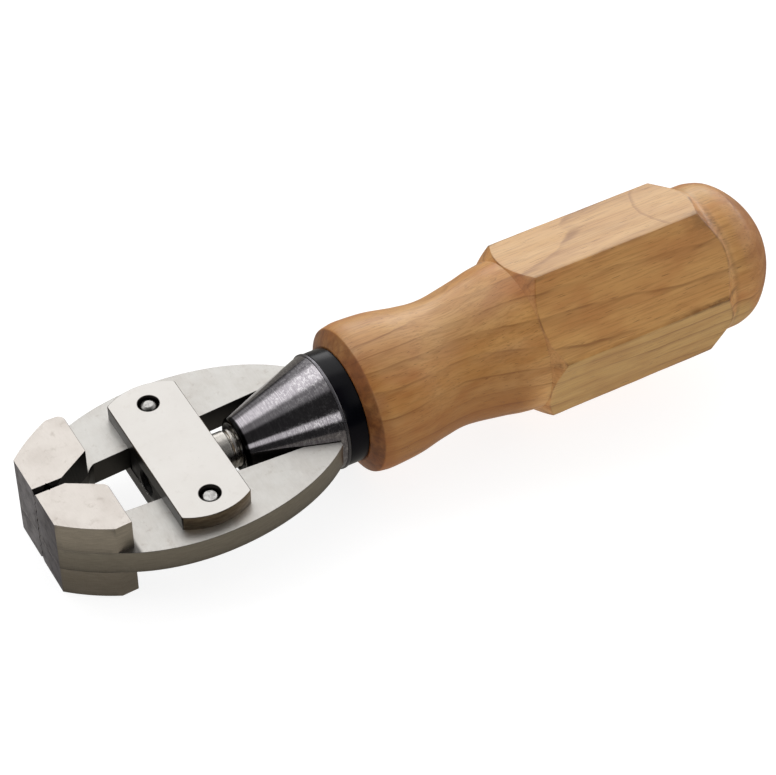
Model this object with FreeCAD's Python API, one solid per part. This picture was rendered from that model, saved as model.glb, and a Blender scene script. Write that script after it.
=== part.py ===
import FreeCAD, Part
import math
import os

# Hand vise: two arms carry the jaws and pivot between two plates.  A cone on a fixed screw
# spreads the arms' tails and so closes the jaws.  The wooden handle turns on the screw and
# drives the cone.
#
# Millimetres.  The model is laid out in tool coordinates: X runs from the jaws' nose (X = 0)
# along the screw to the handle's end, +Y is the far arm's side and Z = 0 is the mid-plane of
# the arms.  export() moves each piece into the row's frame, whose origin is the bottom
# centre of the whole tool.

V = FreeCAD.Vector
X_AXIS = V(1, 0, 0)
Y_AXIS = V(0, 1, 0)
Z_AXIS = V(0, 0, 1)

# ---- driving dimensions: head -------------------------------------------------------
OVERALL_LENGTH = 165.1
ARM_THICKNESS = 5.6
PLATE_THICKNESS = 3.3
JAW_HEIGHT = 19.5
JAW_LENGTH = 13.0
JAW_GAP = 0.2                   # between the gripping faces when closed
NOSE_HALF_WIDTH = 9.35
JAW_HALF_WIDTH = 15.7           # at the jaw's rear face
JAW_SHOULDER_X = 9.5            # the slanting nose ends here, on the arms' oval outline
NOSE_BULGE = 0.4                # height of the slanting nose's shallow arc
GRIP_LENGTH = 4.5               # straight gripping face, before the slanting relief
RELIEF_HALF_WIDTH = 4.95        # relief's half width at the jaw's rear face
JAW_EDGE_CHAMFER = 0.7          # on the gripping faces' top and bottom edges
TOOTH_PITCH = 2.4               # horizontal serrations of the gripping faces
TOOTH_SWING = 0.25              # each side of the middle
TOOTH_REACH = 6.5               # serrations run back this far, into the relief
JAW_GROOVE_X = 2.9              # small upright V-groove in each gripping face
JAW_GROOVE_DEPTH = 0.9
JAW_CORNER_RADIUS = 1.5         # on one upright rear corner of each jaw

OVAL_CENTRE_X = 31.0
OVAL_HALF_WIDTH = 21.4
OVAL_FRONT_AXIS = 32.0
OVAL_REAR_AXIS = 35.0
ARM_TIP_X = 59.7
ARM_INNER_START = (15.0, 6.95)
ARM_INNER_END_Y = 9.4           # inner edge's distance from the axis at the arm's tip
HEEL_HOLLOW = 0.2               # depth of the shallow arc between the relief and the inner edge

PIVOT_X = 30.2
PIVOT_Y = 13.46
PIN_RADIUS = 2.0
PIN_RUNNING_CLEARANCE = 0.05
PIN_RECESS = 0.12               # dome's top below the plate's face
PIN_DOME_HEIGHT = 0.6
COUNTERSINK_RADIUS = 2.2
COUNTERSINK_DEPTH = 0.9

PLATE_FRONT_X = 22.7
PLATE_REAR_X = 37.4
PLATE_CORNER_Y = 16.6
PLATE_END_Y = 18.8
PLATE_CORNER_RADIUS = 0.7
PLATE_EDGE_CHAMFER = 0.15

BLOCK_HALF_WIDTH = 6.8
BLOCK_FRONT_SETBACK = 0.15
DOWEL_RADIUS = 1.25
BLOCK_DOWEL_X = 33.0
BLOCK_DOWEL_Y = 4.9
BLOCK_DOWEL_DEPTH = 1.7         # into each plate
SPRING_X = 26.0
SPRING_HOLE_RADIUS = 1.7
SPRING_HOLE_FLOOR_Y = 3.3
SPRING_OUTER_RADIUS = 1.5
SPRING_INNER_RADIUS = 1.0
SPRING_END_GAP = 0.1
JAW_DOWEL_SPOTS = ((8.6, 10.2), (5.2, 5.0))
JAW_DOWEL_DEPTH = 4.0           # into the jaw above and below the arm

# ---- driving dimensions: screw, cone and handle --------------------------------------
SCREW_RADIUS = 4.0
SPIGOT_RADIUS = 2.5
SPIGOT_RECESS = 1.0
LOCK_PIN_RADIUS = 1.0
LOCK_PIN_X = 29.0
SCREW_END_X = 105.2
STOP_WASHER_THICKNESS = 1.5
STOP_WASHER_RADIUS = 5.4
STOP_SCREW_RADIUS = 2.0
STOP_SCREW_HEAD_RADIUS = 3.5
STOP_SCREW_HEAD_LENGTH = 2.2
STOP_SCREW_DEPTH = 8.0

CONE_FRONT_X = 42.0
CONE_REAR_X = 61.0
CONE_FRONT_RADIUS = 5.75
CONE_REAR_RADIUS = 12.0
CONE_MOUTH_CHAMFER = 0.9
CONE_BORE_CLEARANCE = 0.06
CONE_ARM_CLEARANCE = 0.15
CONE_SLEEVE_RADIUS = 6.2
CONE_SLEEVE_END_X = 69.0
RING_X = 66.5
RING_THICKNESS = 0.9
RING_INNER_RADIUS = 5.4
RING_OUTER_RADIUS = 7.6
RING_GAP = 2.0
WASHER_THICKNESS = 0.6
WASHER_RADIUS = 12.2

FERRULE_GAP = 0.05              # running gap between the washer and the ferrule
FERRULE_RADIUS = 12.0
FERRULE_CAVITY_RADIUS = 8.0
FERRULE_CAVITY_X = 66.0
FERRULE_NECK_RADIUS = 10.0
FERRULE_END_X = 73.0
FERRULE_BORE_CLEARANCE = 0.06
INSERT_RADIUS = 8.0
INSERT_END_X = 90.0
INSERT_BORE_CLEARANCE = 0.05
KEY_RADIUS = 1.25
KEY_LENGTH = 12.0

WOOD_FRONT_X = 65.8
WOOD_FACE_RADIUS = 13.7         # outer edge of the flat front face
WOOD_RIM_MID = (66.4, 14.85)    # middle of the front edge's rounding
WOOD_RIM = (67.9, 15.4)
WOOD_COLLAR = (71.0, 15.75)
WOOD_UPPER_WAIST = (77.0, 15.35)
WOOD_WAIST = (89.0, 13.65)
WOOD_LOWER_WAIST = (97.0, 14.75)
WOOD_SHOULDER = (105.3, 16.15)
HEX_CORNER_RADIUS = 18.8
HEX_START_X = 108.2             # where the corners reach full radius
HEX_END_X = 146.3
HEX_CHAMFER_END = (149.7, 16.15)
DOME_GROOVE = (151.6, 15.85)
DOME_BULGE = (154.6, 15.85)
DOME_SHOULDER = (159.8, 12.5)
DOME_START_SLOPE = 0.25         # outline's slope as it leaves the groove
HEX_TILT_DEG = 17.4             # the top flat leans this far from +Z towards +Y
BLANK_ALLOWANCE = 0.3           # the turned blank stands proud of the hexagon's corners
HANDLE_BORE_RADIUS = 6.2
HANDLE_BORE_END_X = 111.0
DRILL_POINT_LENGTH = 3.0

# ---- worked-out sizes ----------------------------------------------------------------
HALF_ARM = ARM_THICKNESS / 2
PLATE_TOP = HALF_ARM + PLATE_THICKNESS
JAW_TOP = JAW_HEIGHT / 2
HALF_GAP = JAW_GAP / 2
GRIP_FRONT = (0, HALF_GAP - TOOTH_SWING)
GRIP_REAR = (GRIP_LENGTH, HALF_GAP - TOOTH_SWING)
JAW_HEEL = (JAW_LENGTH, RELIEF_HALF_WIDTH)
JAW_REAR_OUTER = (JAW_LENGTH, JAW_HALF_WIDTH)
BLOCK_FRONT_X = PLATE_FRONT_X + BLOCK_FRONT_SETBACK
FERRULE_FRONT_X = CONE_REAR_X + WASHER_THICKNESS + FERRULE_GAP
HEX_APOTHEM = HEX_CORNER_RADIUS * math.cos(math.radians(30))
HEX_LOW_CORNER_DEG = 30 - HEX_TILT_DEG
TOOL_BOTTOM = HEX_CORNER_RADIUS * math.cos(math.radians(HEX_LOW_CORNER_DEG))
ROW_SHIFT = V(-OVERALL_LENGTH / 2, 0, TOOL_BOTTOM)


def line(a, b):
    """Straight edge between two (x, y) points at Z = 0."""
    return Part.makeLine(V(a[0], a[1], 0), V(b[0], b[1], 0))


def arc(a, mid, b):
    """Circular edge through three (x, y) points at Z = 0."""
    return Part.Arc(V(a[0], a[1], 0), V(mid[0], mid[1], 0), V(b[0], b[1], 0)).toShape()


def bowed(a, b, bow):
    """Circular edge between two (x, y) points, bowed to the left of the way from a to b."""
    run = math.dist(a, b)
    left = (-(b[1] - a[1]) / run, (b[0] - a[0]) / run)
    mid = ((a[0] + b[0]) / 2 + bow * left[0], (a[1] + b[1]) / 2 + bow * left[1])
    return arc(a, mid, b)


def slab(edges, low, high):
    """Solid plate with the closed outline of edges between two heights."""
    face = Part.Face(Part.Wire(edges))
    face.translate(V(0, 0, low))
    return face.extrude(V(0, 0, high - low))


def upright(radius, x, y, low, high):
    """Cylinder along Z."""
    return Part.makeCylinder(radius, high - low, V(x, y, low), Z_AXIS)


def turned(edges):
    """Solid of revolution about the X axis from a closed half profile in the XY plane."""
    return Part.Face(Part.Wire(edges)).revolve(V(0, 0, 0), X_AXIS, 360)


def turned_polygon(points):
    """Solid of revolution about the X axis from straight-sided (x, radius) points."""
    return turned([line(a, b) for a, b in zip(points, points[1:] + points[:1])])


def tube(x0, x1, inner, outer):
    """Plain ring or tube about the X axis."""
    return turned_polygon([(x0, inner), (x1, inner), (x1, outer), (x0, outer)])


def mirrored(shape):
    """The near side's copy of a far side piece."""
    return shape.mirror(V(0, 0, 0), Y_AXIS)


def oval_point(x):
    """Point of the arms' oval outline at x."""
    axis = OVAL_FRONT_AXIS if x < OVAL_CENTRE_X else OVAL_REAR_AXIS
    offset = (x - OVAL_CENTRE_X) / axis
    return (x, OVAL_HALF_WIDTH * math.sqrt(1 - offset * offset))


def oval_edge(x0, x1, axis):
    """Arc of the oval from x0 to x1, with the given semi-axis along X."""
    curve = Part.Ellipse(
        V(OVAL_CENTRE_X + axis, 0, 0), V(OVAL_CENTRE_X, OVAL_HALF_WIDTH, 0), V(OVAL_CENTRE_X, 0, 0)
    )
    angle0 = math.acos((x0 - OVAL_CENTRE_X) / axis)
    angle1 = math.acos((x1 - OVAL_CENTRE_X) / axis)
    return Part.ArcOfEllipse(curve, min(angle0, angle1), max(angle0, angle1)).toShape()


def cone_radius(x):
    """Outer radius of the spreader cone at x."""
    slope = (CONE_REAR_RADIUS - CONE_FRONT_RADIUS) / (CONE_REAR_X - CONE_FRONT_X)
    return CONE_FRONT_RADIUS + slope * (x - CONE_FRONT_X)


# ---- jaws and arms -------------------------------------------------------------------
def nose_arc():
    """Shallow slanting edge from the nose to the jaw's shoulder."""
    return bowed((0, NOSE_HALF_WIDTH), oval_point(JAW_SHOULDER_X), NOSE_BULGE)


def arm_dowel_holes(low, high):
    return [upright(DOWEL_RADIUS, x, y, low, high) for x, y in JAW_DOWEL_SPOTS]


def teeth_cutter(side):
    """Everything past one jaw's serrated gripping face; side is 1 for the far jaw, -1 for the near."""
    depth = 5 * side
    count = math.ceil(JAW_HEIGHT / TOOTH_PITCH) * 2
    start_z = -count * TOOTH_PITCH / 4
    face = side * HALF_GAP
    points = [
        V(-1, face + TOOTH_SWING * (-1) ** index, start_z + index * TOOTH_PITCH / 2)
        for index in range(count + 1)
    ]
    points += [V(-1, face - depth, points[-1].z), V(-1, face - depth, start_z), points[0]]
    return Part.Face(Part.makePolygon(points)).extrude(V(TOOTH_REACH + 1, 0, 0))


def grip_cutters(side):
    """Serrations, V-groove and edge chamfers of one jaw's gripping face."""
    root = side * (HALF_GAP - TOOTH_SWING)
    depth = side * JAW_GROOVE_DEPTH
    half_width = JAW_GROOVE_DEPTH + TOOTH_SWING
    mouth = [(JAW_GROOVE_X - half_width, root), (JAW_GROOVE_X + half_width, root)]
    floor = (JAW_GROOVE_X, root + depth + side * TOOTH_SWING)
    groove = slab(
        [line(mouth[0], mouth[1]), line(mouth[1], floor), line(floor, mouth[0])], -JAW_TOP, JAW_TOP
    )
    cutters = [teeth_cutter(side), groove]
    for level in (-1, 1):
        corner = V(-1, root, level * JAW_TOP)
        inward = V(-1, side * (HALF_GAP + JAW_EDGE_CHAMFER), level * JAW_TOP)
        down = V(-1, root, level * (JAW_TOP - JAW_EDGE_CHAMFER - TOOTH_SWING))
        wire = Part.makePolygon([corner, inward, down, corner])
        cutters.append(Part.Face(wire).extrude(V(TOOTH_REACH + 1, 0, 0)))
    return cutters


def far_arm_blank():
    """Flat arm with its jaw tongue, pivot bore and the hollow that rides on the cone."""
    shoulder = oval_point(JAW_SHOULDER_X)
    tip_outer = oval_point(ARM_TIP_X)
    tip_inner = (ARM_TIP_X, ARM_INNER_END_Y)
    outline = [
        line(GRIP_FRONT, (0, NOSE_HALF_WIDTH)),
        nose_arc(),
        oval_edge(shoulder[0], OVAL_CENTRE_X, OVAL_FRONT_AXIS),
        oval_edge(OVAL_CENTRE_X, tip_outer[0], OVAL_REAR_AXIS),
        line(tip_outer, tip_inner),
        line(tip_inner, ARM_INNER_START),
        bowed(ARM_INNER_START, JAW_HEEL, -HEEL_HOLLOW),
        line(JAW_HEEL, GRIP_REAR),
        line(GRIP_REAR, GRIP_FRONT),
    ]
    arm = slab(outline, -HALF_ARM, HALF_ARM)
    reach = 6.0
    hollow = turned_polygon([
        (CONE_FRONT_X - reach, 0),
        (CONE_REAR_X + reach, 0),
        (CONE_REAR_X + reach, cone_radius(CONE_REAR_X + reach) + CONE_ARM_CLEARANCE),
        (CONE_FRONT_X - reach, cone_radius(CONE_FRONT_X - reach) + CONE_ARM_CLEARANCE),
    ])
    bore = upright(PIN_RADIUS + PIN_RUNNING_CLEARANCE, PIVOT_X, PIVOT_Y, -HALF_ARM, HALF_ARM)
    return arm.cut([hollow, bore] + arm_dowel_holes(-HALF_ARM, HALF_ARM))


def far_jaw_blank(low, high, rounded_corner):
    """Jaw block on the arm's tongue, between two heights, with one rear corner rounded."""
    outline = [
        line(GRIP_FRONT, (0, NOSE_HALF_WIDTH)),
        nose_arc(),
        line(oval_point(JAW_SHOULDER_X), JAW_REAR_OUTER),
        line(JAW_REAR_OUTER, JAW_HEEL),
        line(JAW_HEEL, GRIP_REAR),
        line(GRIP_REAR, GRIP_FRONT),
    ]
    block = slab(outline, low, high)
    corner_edges = [
        edge for edge in block.Edges
        if len(edge.Vertexes) == 2
        and all(math.dist((v.X, v.Y), rounded_corner) < 0.01 for v in edge.Vertexes)
    ]
    block = block.makeFillet(JAW_CORNER_RADIUS, corner_edges)
    seat = min(abs(low), abs(high)) + JAW_DOWEL_DEPTH
    return block.cut(arm_dowel_holes(-seat, seat))


def gripping_pair(far_blank, near_blank):
    """Far and near pieces from two far side blanks, each with its own gripping face."""
    return (
        far_blank.cut(grip_cutters(1)).removeSplitter(),
        mirrored(near_blank).cut(grip_cutters(-1)).removeSplitter(),
    )


def jaw_pair(low, high):
    """Both jaws between two heights; the far one's outer rear corner and the near one's heel are round."""
    return gripping_pair(
        far_jaw_blank(low, high, JAW_REAR_OUTER), far_jaw_blank(low, high, JAW_HEEL)
    )


def far_jaw_dowels():
    """The two dowels that pin the jaws to the arm, joined as one node."""
    seat = HALF_ARM + JAW_DOWEL_DEPTH
    return Part.makeCompound(arm_dowel_holes(-seat, seat))


# ---- plates, block and pins ----------------------------------------------------------
def plate_blank():
    """Plate outline with bowed ends, its upper face's edges broken."""
    front, rear = PLATE_FRONT_X, PLATE_REAR_X
    outline = [
        line((front, -PLATE_CORNER_Y), (front, PLATE_CORNER_Y)),
        arc((front, PLATE_CORNER_Y), (PIVOT_X, PLATE_END_Y), (rear, PLATE_CORNER_Y)),
        line((rear, PLATE_CORNER_Y), (rear, -PLATE_CORNER_Y)),
        arc((rear, -PLATE_CORNER_Y), (PIVOT_X, -PLATE_END_Y), (front, -PLATE_CORNER_Y)),
    ]
    plate = slab(outline, HALF_ARM, PLATE_TOP)
    corners = [
        edge for edge in plate.Edges
        if abs(edge.Vertexes[0].Z - edge.Vertexes[-1].Z) > PLATE_THICKNESS / 2
    ]
    plate = plate.makeFillet(PLATE_CORNER_RADIUS, corners)
    rim = [edge for edge in plate.Edges if edge.BoundBox.ZMin > PLATE_TOP - 0.01]
    return plate.makeChamfer(PLATE_EDGE_CHAMFER, rim)


def top_plate():
    """Upper plate with its countersunk pivot holes and blind dowel holes."""
    cutters = []
    for side in (-1, 1):
        y = side * PIVOT_Y
        cutters.append(upright(PIN_RADIUS, PIVOT_X, y, HALF_ARM, PLATE_TOP))
        cutters.append(Part.makeCone(
            PIN_RADIUS, COUNTERSINK_RADIUS, COUNTERSINK_DEPTH,
            V(PIVOT_X, y, PLATE_TOP - COUNTERSINK_DEPTH), Z_AXIS,
        ))
        cutters.append(upright(
            DOWEL_RADIUS, BLOCK_DOWEL_X, side * BLOCK_DOWEL_Y, HALF_ARM, HALF_ARM + BLOCK_DOWEL_DEPTH
        ))
    return plate_blank().cut(cutters).removeSplitter()


def bottom_plate():
    """The top plate's twin, turned over."""
    return top_plate().mirror(V(0, 0, 0), Z_AXIS)


def spacer_block():
    """Block between the plates that holds the screw, the dowels and the two springs."""
    length = PLATE_REAR_X - BLOCK_FRONT_X
    block = Part.makeBox(
        length, 2 * BLOCK_HALF_WIDTH, ARM_THICKNESS, V(BLOCK_FRONT_X, -BLOCK_HALF_WIDTH, -HALF_ARM)
    )
    bore = Part.makeCylinder(SPIGOT_RADIUS, length, V(BLOCK_FRONT_X, 0, 0), X_AXIS)
    mouth = Part.makeCone(
        SPIGOT_RADIUS + 0.4, SPIGOT_RADIUS, 0.5, V(BLOCK_FRONT_X, 0, 0), X_AXIS
    )
    lock_hole = upright(LOCK_PIN_RADIUS, LOCK_PIN_X, 0, -HALF_ARM, HALF_ARM)
    cutters = [bore, mouth, lock_hole]
    for side in (-1, 1):
        cutters.append(upright(
            DOWEL_RADIUS, BLOCK_DOWEL_X, side * BLOCK_DOWEL_Y, -HALF_ARM, HALF_ARM
        ))
        cutters.append(Part.makeCylinder(
            SPRING_HOLE_RADIUS, BLOCK_HALF_WIDTH - SPRING_HOLE_FLOOR_Y,
            V(SPRING_X, side * SPRING_HOLE_FLOOR_Y, 0), V(0, side, 0),
        ))
    return block.cut(cutters).removeSplitter()


def block_dowels():
    """The two dowels through the block into both plates, joined as one node."""
    seat = HALF_ARM + BLOCK_DOWEL_DEPTH
    return Part.makeCompound([
        upright(DOWEL_RADIUS, BLOCK_DOWEL_X, side * BLOCK_DOWEL_Y, -seat, seat) for side in (-1, 1)
    ])


def far_pivot_pin():
    """Pivot pin with a low dome at each end."""
    crown = PLATE_TOP - PIN_RECESS
    edge = crown - PIN_DOME_HEIGHT
    half_chord = PIN_RADIUS / 2
    dome_radius = (PIN_RADIUS ** 2 + PIN_DOME_HEIGHT ** 2) / (2 * PIN_DOME_HEIGHT)
    mid_height = crown - dome_radius + math.sqrt(dome_radius ** 2 - half_chord ** 2)
    profile = [
        Part.makeLine(V(0, 0, -crown), V(0, 0, crown)),
        Part.Arc(V(0, 0, crown), V(half_chord, 0, mid_height), V(PIN_RADIUS, 0, edge)).toShape(),
        Part.makeLine(V(PIN_RADIUS, 0, edge), V(PIN_RADIUS, 0, -edge)),
        Part.Arc(V(PIN_RADIUS, 0, -edge), V(half_chord, 0, -mid_height), V(0, 0, -crown)).toShape(),
    ]
    pin = Part.Face(Part.Wire(profile)).revolve(V(0, 0, 0), Z_AXIS, 360)
    pin.translate(V(PIVOT_X, PIVOT_Y, 0))
    return pin


def arm_inner_y(x):
    """Distance of the arm's straight inner edge from the axis at x."""
    share = (x - ARM_INNER_START[0]) / (ARM_TIP_X - ARM_INNER_START[0])
    return ARM_INNER_START[1] + share * (ARM_INNER_END_Y - ARM_INNER_START[1])


def far_spring():
    """Room taken by the small return spring, from its hole's floor to the arm."""
    reach = arm_inner_y(SPRING_X - SPRING_OUTER_RADIUS) - SPRING_END_GAP
    start = V(SPRING_X, SPRING_HOLE_FLOOR_Y, 0)
    length = reach - SPRING_HOLE_FLOOR_Y
    outer = Part.makeCylinder(SPRING_OUTER_RADIUS, length, start, Y_AXIS)
    return outer.cut(Part.makeCylinder(SPRING_INNER_RADIUS, length, start, Y_AXIS))


# ---- screw and cone ------------------------------------------------------------------
def drive_screw():
    """Screw with a spigot in the block and a tapped rear end."""
    chamfer = 0.5
    front = BLOCK_FRONT_X + SPIGOT_RECESS
    body = turned_polygon([
        (front, 0),
        (front, SPIGOT_RADIUS - chamfer),
        (front + chamfer, SPIGOT_RADIUS),
        (PLATE_REAR_X, SPIGOT_RADIUS),
        (PLATE_REAR_X, SCREW_RADIUS),
        (SCREW_END_X - chamfer, SCREW_RADIUS),
        (SCREW_END_X, SCREW_RADIUS - chamfer),
        (SCREW_END_X, STOP_SCREW_RADIUS),
        (SCREW_END_X - STOP_SCREW_DEPTH, STOP_SCREW_RADIUS),
        (SCREW_END_X - STOP_SCREW_DEPTH, 0),
    ])
    lock_hole = upright(LOCK_PIN_RADIUS, LOCK_PIN_X, 0, -HALF_ARM, HALF_ARM)
    return body.cut(lock_hole).removeSplitter()


def screw_lock_pin():
    return upright(LOCK_PIN_RADIUS, LOCK_PIN_X, 0, -HALF_ARM, HALF_ARM)


def stop_washer():
    return tube(SCREW_END_X, SCREW_END_X + STOP_WASHER_THICKNESS, STOP_SCREW_RADIUS, STOP_WASHER_RADIUS)


def stop_screw():
    """Socket-head screw that keeps the stop washer on the screw's end."""
    head_x = SCREW_END_X + STOP_WASHER_THICKNESS
    end_x = head_x + STOP_SCREW_HEAD_LENGTH
    socket_radius = 1.2
    socket_depth = 1.2
    return turned_polygon([
        (SCREW_END_X - STOP_SCREW_DEPTH, 0),
        (SCREW_END_X - STOP_SCREW_DEPTH, STOP_SCREW_RADIUS),
        (head_x, STOP_SCREW_RADIUS),
        (head_x, STOP_SCREW_HEAD_RADIUS),
        (end_x, STOP_SCREW_HEAD_RADIUS),
        (end_x, socket_radius),
        (end_x - socket_depth, socket_radius),
        (end_x - socket_depth, 0),
    ])


def spreader_cone():
    """Cone that spreads the arms' tails, with a rear sleeve that runs in the ferrule."""
    bore = SCREW_RADIUS + CONE_BORE_CLEARANCE
    mouth = CONE_MOUTH_CHAMFER
    return turned_polygon([
        (CONE_FRONT_X + mouth, bore),
        (CONE_FRONT_X, bore + mouth),
        (CONE_FRONT_X, CONE_FRONT_RADIUS - 0.3),
        (CONE_FRONT_X + 0.3, cone_radius(CONE_FRONT_X + 0.3)),
        (CONE_REAR_X, CONE_REAR_RADIUS),
        (CONE_REAR_X, CONE_SLEEVE_RADIUS),
        (RING_X, CONE_SLEEVE_RADIUS),
        (RING_X, RING_INNER_RADIUS),
        (RING_X + RING_THICKNESS, RING_INNER_RADIUS),
        (RING_X + RING_THICKNESS, CONE_SLEEVE_RADIUS),
        (CONE_SLEEVE_END_X, CONE_SLEEVE_RADIUS),
        (CONE_SLEEVE_END_X, bore),
    ])


def thrust_washer():
    return tube(CONE_REAR_X, CONE_REAR_X + WASHER_THICKNESS, CONE_SLEEVE_RADIUS, WASHER_RADIUS)


def retaining_ring():
    """Open ring in the cone sleeve's groove, behind the ferrule's step."""
    ring = tube(RING_X, RING_X + RING_THICKNESS, RING_INNER_RADIUS, RING_OUTER_RADIUS)
    gap = Part.makeBox(
        RING_THICKNESS, RING_GAP, RING_OUTER_RADIUS, V(RING_X, -RING_GAP / 2, 0)
    )
    return ring.cut(gap)


# ---- ferrule, insert and handle ------------------------------------------------------
def ferrule():
    """Flanged metal collar in the front of the handle."""
    bore = CONE_SLEEVE_RADIUS + FERRULE_BORE_CLEARANCE
    edge = 0.3
    return turned_polygon([
        (FERRULE_FRONT_X, bore),
        (FERRULE_FRONT_X, FERRULE_RADIUS - edge),
        (FERRULE_FRONT_X + edge, FERRULE_RADIUS),
        (WOOD_FRONT_X, FERRULE_RADIUS),
        (WOOD_FRONT_X, FERRULE_NECK_RADIUS),
        (FERRULE_END_X, FERRULE_NECK_RADIUS),
        (FERRULE_END_X, FERRULE_CAVITY_RADIUS),
        (FERRULE_CAVITY_X, FERRULE_CAVITY_RADIUS),
        (FERRULE_CAVITY_X, bore),
    ])


def key_cylinders():
    """Round keys half in the insert and half in the wood."""
    return [
        Part.makeCylinder(KEY_RADIUS, KEY_LENGTH, V(FERRULE_END_X, 0, side * INSERT_RADIUS), X_AXIS)
        for side in (-1, 1)
    ]


def threaded_insert():
    """Nut in the handle that runs on the screw."""
    body = tube(FERRULE_END_X, INSERT_END_X, SCREW_RADIUS + INSERT_BORE_CLEARANCE, INSERT_RADIUS)
    return body.cut(key_cylinders()).removeSplitter()


def insert_keys():
    return Part.makeCompound(key_cylinders())


def handle_profile():
    """Half profile of the turned handle, without its hexagon."""
    face_edge = (WOOD_FRONT_X, WOOD_FACE_RADIUS)
    grip = Part.BSplineCurve()
    grip.interpolate([
        V(x, r, 0)
        for x, r in (WOOD_RIM, WOOD_COLLAR, WOOD_UPPER_WAIST, WOOD_WAIST, WOOD_LOWER_WAIST, WOOD_SHOULDER)
    ])
    blank_radius = HEX_CORNER_RADIUS + BLANK_ALLOWANCE
    flare = (HEX_START_X, blank_radius)
    full = (HEX_END_X, blank_radius)
    dome = Part.BSplineCurve()
    dome_end = V(OVERALL_LENGTH, 0, 0)
    dome.interpolate(
        Points=[V(*DOME_GROOVE, 0), V(*DOME_BULGE, 0), V(*DOME_SHOULDER, 0), dome_end],
        InitialTangent=V(1, DOME_START_SLOPE, 0),
        FinalTangent=V(0, -1, 0),
    )
    return [
        line((WOOD_FRONT_X, 0), face_edge),
        arc(face_edge, WOOD_RIM_MID, WOOD_RIM),
        grip.toShape(),
        line(WOOD_SHOULDER, flare),
        line(flare, full),
        line(full, HEX_CHAMFER_END),
        line(HEX_CHAMFER_END, DOME_GROOVE),
        dome.toShape(),
        line((OVERALL_LENGTH, 0), (WOOD_FRONT_X, 0)),
    ]


def hex_prism():
    """Hexagonal bar along X whose flats cut the turned handle."""
    points = []
    for index in range(7):
        angle = math.radians(HEX_TILT_DEG + 30 + 60 * index)
        points.append(V(0, HEX_CORNER_RADIUS * math.sin(angle), HEX_CORNER_RADIUS * math.cos(angle)))
    return Part.Face(Part.makePolygon(points)).extrude(V(OVERALL_LENGTH + 1, 0, 0))


def wooden_handle():
    """Turned handle with a hexagonal grip, stepped bore and key slots."""
    body = turned(handle_profile()).common(hex_prism())
    bore = turned_polygon([
        (WOOD_FRONT_X, 0),
        (WOOD_FRONT_X, FERRULE_NECK_RADIUS),
        (FERRULE_END_X, FERRULE_NECK_RADIUS),
        (FERRULE_END_X, INSERT_RADIUS),
        (INSERT_END_X, INSERT_RADIUS),
        (INSERT_END_X, HANDLE_BORE_RADIUS),
        (HANDLE_BORE_END_X, HANDLE_BORE_RADIUS),
        (HANDLE_BORE_END_X + DRILL_POINT_LENGTH, 0),
    ])
    return body.cut([bore] + key_cylinders())


def export(name, shape):
    """Write one node, moved into the row's frame."""
    if not shape.isValid():
        raise ValueError(name + " is not a valid shape")
    placed = shape.copy()
    placed.translate(ROW_SHIFT)
    placed.exportStep("parts/" + name + ".step")


def build():
    os.makedirs("parts", exist_ok=True)
    arm = far_arm_blank()
    gripping_pairs = {
        "arm": gripping_pair(arm, arm),
        "jaw_upper": jaw_pair(HALF_ARM, JAW_TOP),
        "jaw_lower": jaw_pair(-JAW_TOP, -HALF_ARM),
    }
    for name, (far_shape, near_shape) in gripping_pairs.items():
        export("far_" + name, far_shape)
        export("near_" + name, near_shape)
    far_pieces = {
        "jaw_dowels": far_jaw_dowels(),
        "pivot_pin": far_pivot_pin(),
        "spring": far_spring(),
    }
    for name, shape in far_pieces.items():
        export("far_" + name, shape)
        export("near_" + name, mirrored(shape))
    middle_pieces = {
        "top_plate": top_plate(),
        "bottom_plate": bottom_plate(),
        "spacer_block": spacer_block(),
        "block_dowels": block_dowels(),
        "drive_screw": drive_screw(),
        "screw_lock_pin": screw_lock_pin(),
        "stop_washer": stop_washer(),
        "stop_screw": stop_screw(),
        "spreader_cone": spreader_cone(),
        "thrust_washer": thrust_washer(),
        "retaining_ring": retaining_ring(),
        "ferrule": ferrule(),
        "threaded_insert": threaded_insert(),
        "insert_keys": insert_keys(),
        "wooden_handle": wooden_handle(),
    }
    for name, shape in middle_pieces.items():
        export(name, shape)


build()
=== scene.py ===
import math

import bpy
from mathutils import Matrix, Vector, noise


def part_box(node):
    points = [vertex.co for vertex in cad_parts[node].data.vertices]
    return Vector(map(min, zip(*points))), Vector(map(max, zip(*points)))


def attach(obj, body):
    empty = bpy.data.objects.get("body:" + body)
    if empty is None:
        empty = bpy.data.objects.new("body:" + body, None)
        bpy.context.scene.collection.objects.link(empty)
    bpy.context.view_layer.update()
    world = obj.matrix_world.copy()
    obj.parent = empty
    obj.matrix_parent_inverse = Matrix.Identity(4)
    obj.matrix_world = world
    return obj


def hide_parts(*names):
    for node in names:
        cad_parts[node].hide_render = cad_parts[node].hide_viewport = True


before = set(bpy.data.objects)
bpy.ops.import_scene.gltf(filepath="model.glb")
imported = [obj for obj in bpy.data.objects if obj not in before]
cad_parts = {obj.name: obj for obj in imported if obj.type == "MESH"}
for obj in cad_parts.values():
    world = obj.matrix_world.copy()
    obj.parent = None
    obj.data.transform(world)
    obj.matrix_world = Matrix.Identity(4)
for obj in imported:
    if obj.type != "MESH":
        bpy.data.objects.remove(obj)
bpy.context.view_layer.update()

# ---- where things are, in millimetres of the tool's own axis system --------------------
# X runs from the jaws' nose to the handle's end, Z = 0 is the screw's axis.
MM = 0.001
ORIGIN = Vector((
    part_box("far_arm")[0].x,
    (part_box("drive_screw")[0].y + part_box("drive_screw")[1].y) / 2,
    (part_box("drive_screw")[0].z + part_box("drive_screw")[1].z) / 2,
))


def at(x, y, z):
    """Row-frame point, in metres, of a point in tool millimetres."""
    return ORIGIN + Vector((x, y, z)) * MM


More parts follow.
